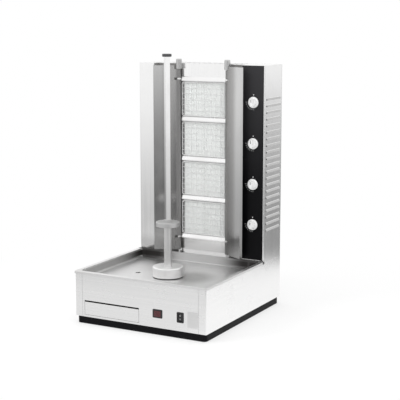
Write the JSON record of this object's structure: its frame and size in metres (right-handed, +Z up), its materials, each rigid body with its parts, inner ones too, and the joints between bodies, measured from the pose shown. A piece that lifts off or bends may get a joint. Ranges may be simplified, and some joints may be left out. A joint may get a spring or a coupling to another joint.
{
  "type": "rotisserie oven",
  "caption": "Upright gas rotisserie grill: stainless base with sunk drip pan and grease drawer, tower of stacked heating zones with knobs, hinged reflectors and a motor-turned spit.",
  "frame": {"origin": "on the floor, under the middle of the whole object's bounding box", "axes": "+Z up, the front with drawer and switch faces -Y, +X to the right seen from the front"},
  "size_m": [0.58, 0.665, 1.031],
  "materials": {
    "steel": "satin brushed stainless sheet",
    "pan_steel": "satin stainless, a little duller than the casing",
    "wing_steel": "mirror-like stainless reflector",
    "bright_steel": "polished stainless",
    "inner_steel": "plain sheet steel",
    "screw_steel": "plain steel",
    "gear_steel": "oiled machined steel",
    "wire": "drawn wire, heat dulled",
    "plinth": "matt black",
    "foot_rubber": "matt black rubber",
    "black_plastic": "semi-gloss black",
    "red_lens": "dark red translucent lens",
    "black_panel": "semi-gloss black enamel",
    "iron": "grey casting",
    "bronze": "plain bearing bronze",
    "brass": "machined brass",
    "cast_alloy": "as cast",
    "motor_paint": "dark grey paint",
    "ceramic": "pierced off-white burner ceramic",
    "knob_white": "light silver-grey moulded knob"
  },
  "bodies": {
    "frame": {"base_front_panel": "steel", "base_side_panels": "steel", "base_back_panel": "steel", "base_plate": "inner_steel", "plinth_rails": "plinth", "rubber_feet": "foot_rubber", "drip_pan": "pan_steel", "drawer_runners": "inner_steel", "lamp_frame": "black_plastic", "lamp_lens": "red_lens", "switch_frame": "black_plastic", "power_inlet": "black_plastic", "bearing_blocks": "iron", "shaft_bushes": "bronze", "bearing_bridge": "inner_steel", "gearbox": "cast_alloy", "motor": "motor_paint", "motor_bracket": "inner_steel", "tower_floor": "steel", "left_casing": "steel", "right_side_panel": "steel", "control_panel": "black_panel", "tower_top": "steel", "tower_back_panel": "steel", "casing_screws": "screw_steel", "burner_surround": "steel", "heat_shield": "inner_steel", "control_box_wall": "inner_steel", "burner_boxes": "inner_steel", "ceramic_plates": "ceramic", "burner_guards": "wire", "divider_bars": "bright_steel", "gas_manifold": "inner_steel", "gas_valves": "brass", "injector_pipes": "brass", "gas_inlet": "brass", "hinge_rods": "bright_steel", "hinge_brackets": "steel"},
    "drive": {"drive_shaft": "bright_steel", "drive_gear": "gear_steel", "turntable": "bright_steel"},
    "pinion": {"pinion_shaft": "gear_steel"},
    "spit": {"spit_bar": "bright_steel", "spit_sleeve": "bright_steel", "meat_disc": "bright_steel", "top_knob": "black_plastic"},
    "drawer": {"drawer_front": "steel", "drawer_pan": "inner_steel"},
    "rocker": {"switch_rocker": "black_plastic"},
    "left_wing": {"left_wing": "wing_steel"},
    "right_wing": {"right_wing": "wing_steel"},
    "knob_1": {"knob_1": "knob_white", "tap_spindle_1": "bright_steel"},
    "knob_2": {"knob_2": "knob_white", "tap_spindle_2": "bright_steel"},
    "knob_3": {"knob_3": "knob_white", "tap_spindle_3": "bright_steel"},
    "knob_4": {"knob_4": "knob_white", "tap_spindle_4": "bright_steel"}
  },
  "joints": [
    {"name": "drive_spin", "type": "hinge", "parent": "frame", "child": "drive", "pos_m": [0, -0.1105, 0.212], "axis": [0, 0, 1], "continuous": true},
    {"name": "pinion_spin", "type": "hinge", "parent": "frame", "child": "pinion", "pos_m": [0.072, -0.1105, 0.092], "axis": [0, 0, 1], "continuous": true},
    {"name": "spit_lift", "type": "slide", "parent": "drive", "child": "spit", "axis": [0, 0, 1], "range_m": [0, 0.09]},
    {"name": "drawer_slide", "type": "slide", "parent": "frame", "child": "drawer", "axis": [0, -1, 0], "range_m": [0, 0.3]},
    {"name": "rocker_tilt", "type": "hinge", "parent": "frame", "child": "rocker", "pos_m": [0.178, -0.3235, 0.082], "axis": [1, 0, 0], "range_deg": [0, 14]},
    {"name": "left_wing_swing", "type": "hinge", "parent": "frame", "child": "left_wing", "pos_m": [-0.11, 0.1755, 0.206], "axis": [0, 0, 1], "range_deg": [0, 55]},
    {"name": "right_wing_swing", "type": "hinge", "parent": "frame", "child": "right_wing", "pos_m": [0.11, 0.1755, 0.206], "axis": [0, 0, -1], "range_deg": [0, 55]},
    {"name": "knob_1_turn", "type": "hinge", "parent": "frame", "child": "knob_1", "pos_m": [0.236, 0.1555, 0.838], "axis": [0, -1, 0], "range_deg": [0, 180]},
    {"name": "knob_2_turn", "type": "hinge", "parent": "frame", "child": "knob_2", "pos_m": [0.236, 0.1555, 0.676], "axis": [0, -1, 0], "range_deg": [0, 180]},
    {"name": "knob_3_turn", "type": "hinge", "parent": "frame", "child": "knob_3", "pos_m": [0.236, 0.1555, 0.514], "axis": [0, -1, 0], "range_deg": [0, 180]},
    {"name": "knob_4_turn", "type": "hinge", "parent": "frame", "child": "knob_4", "pos_m": [0.236, 0.1555, 0.352], "axis": [0, -1, 0], "range_deg": [0, 180]}
  ],
  "couplings": [
    {"joint": "pinion_spin", "follows": "drive_spin", "ratio": -3}
  ]
}
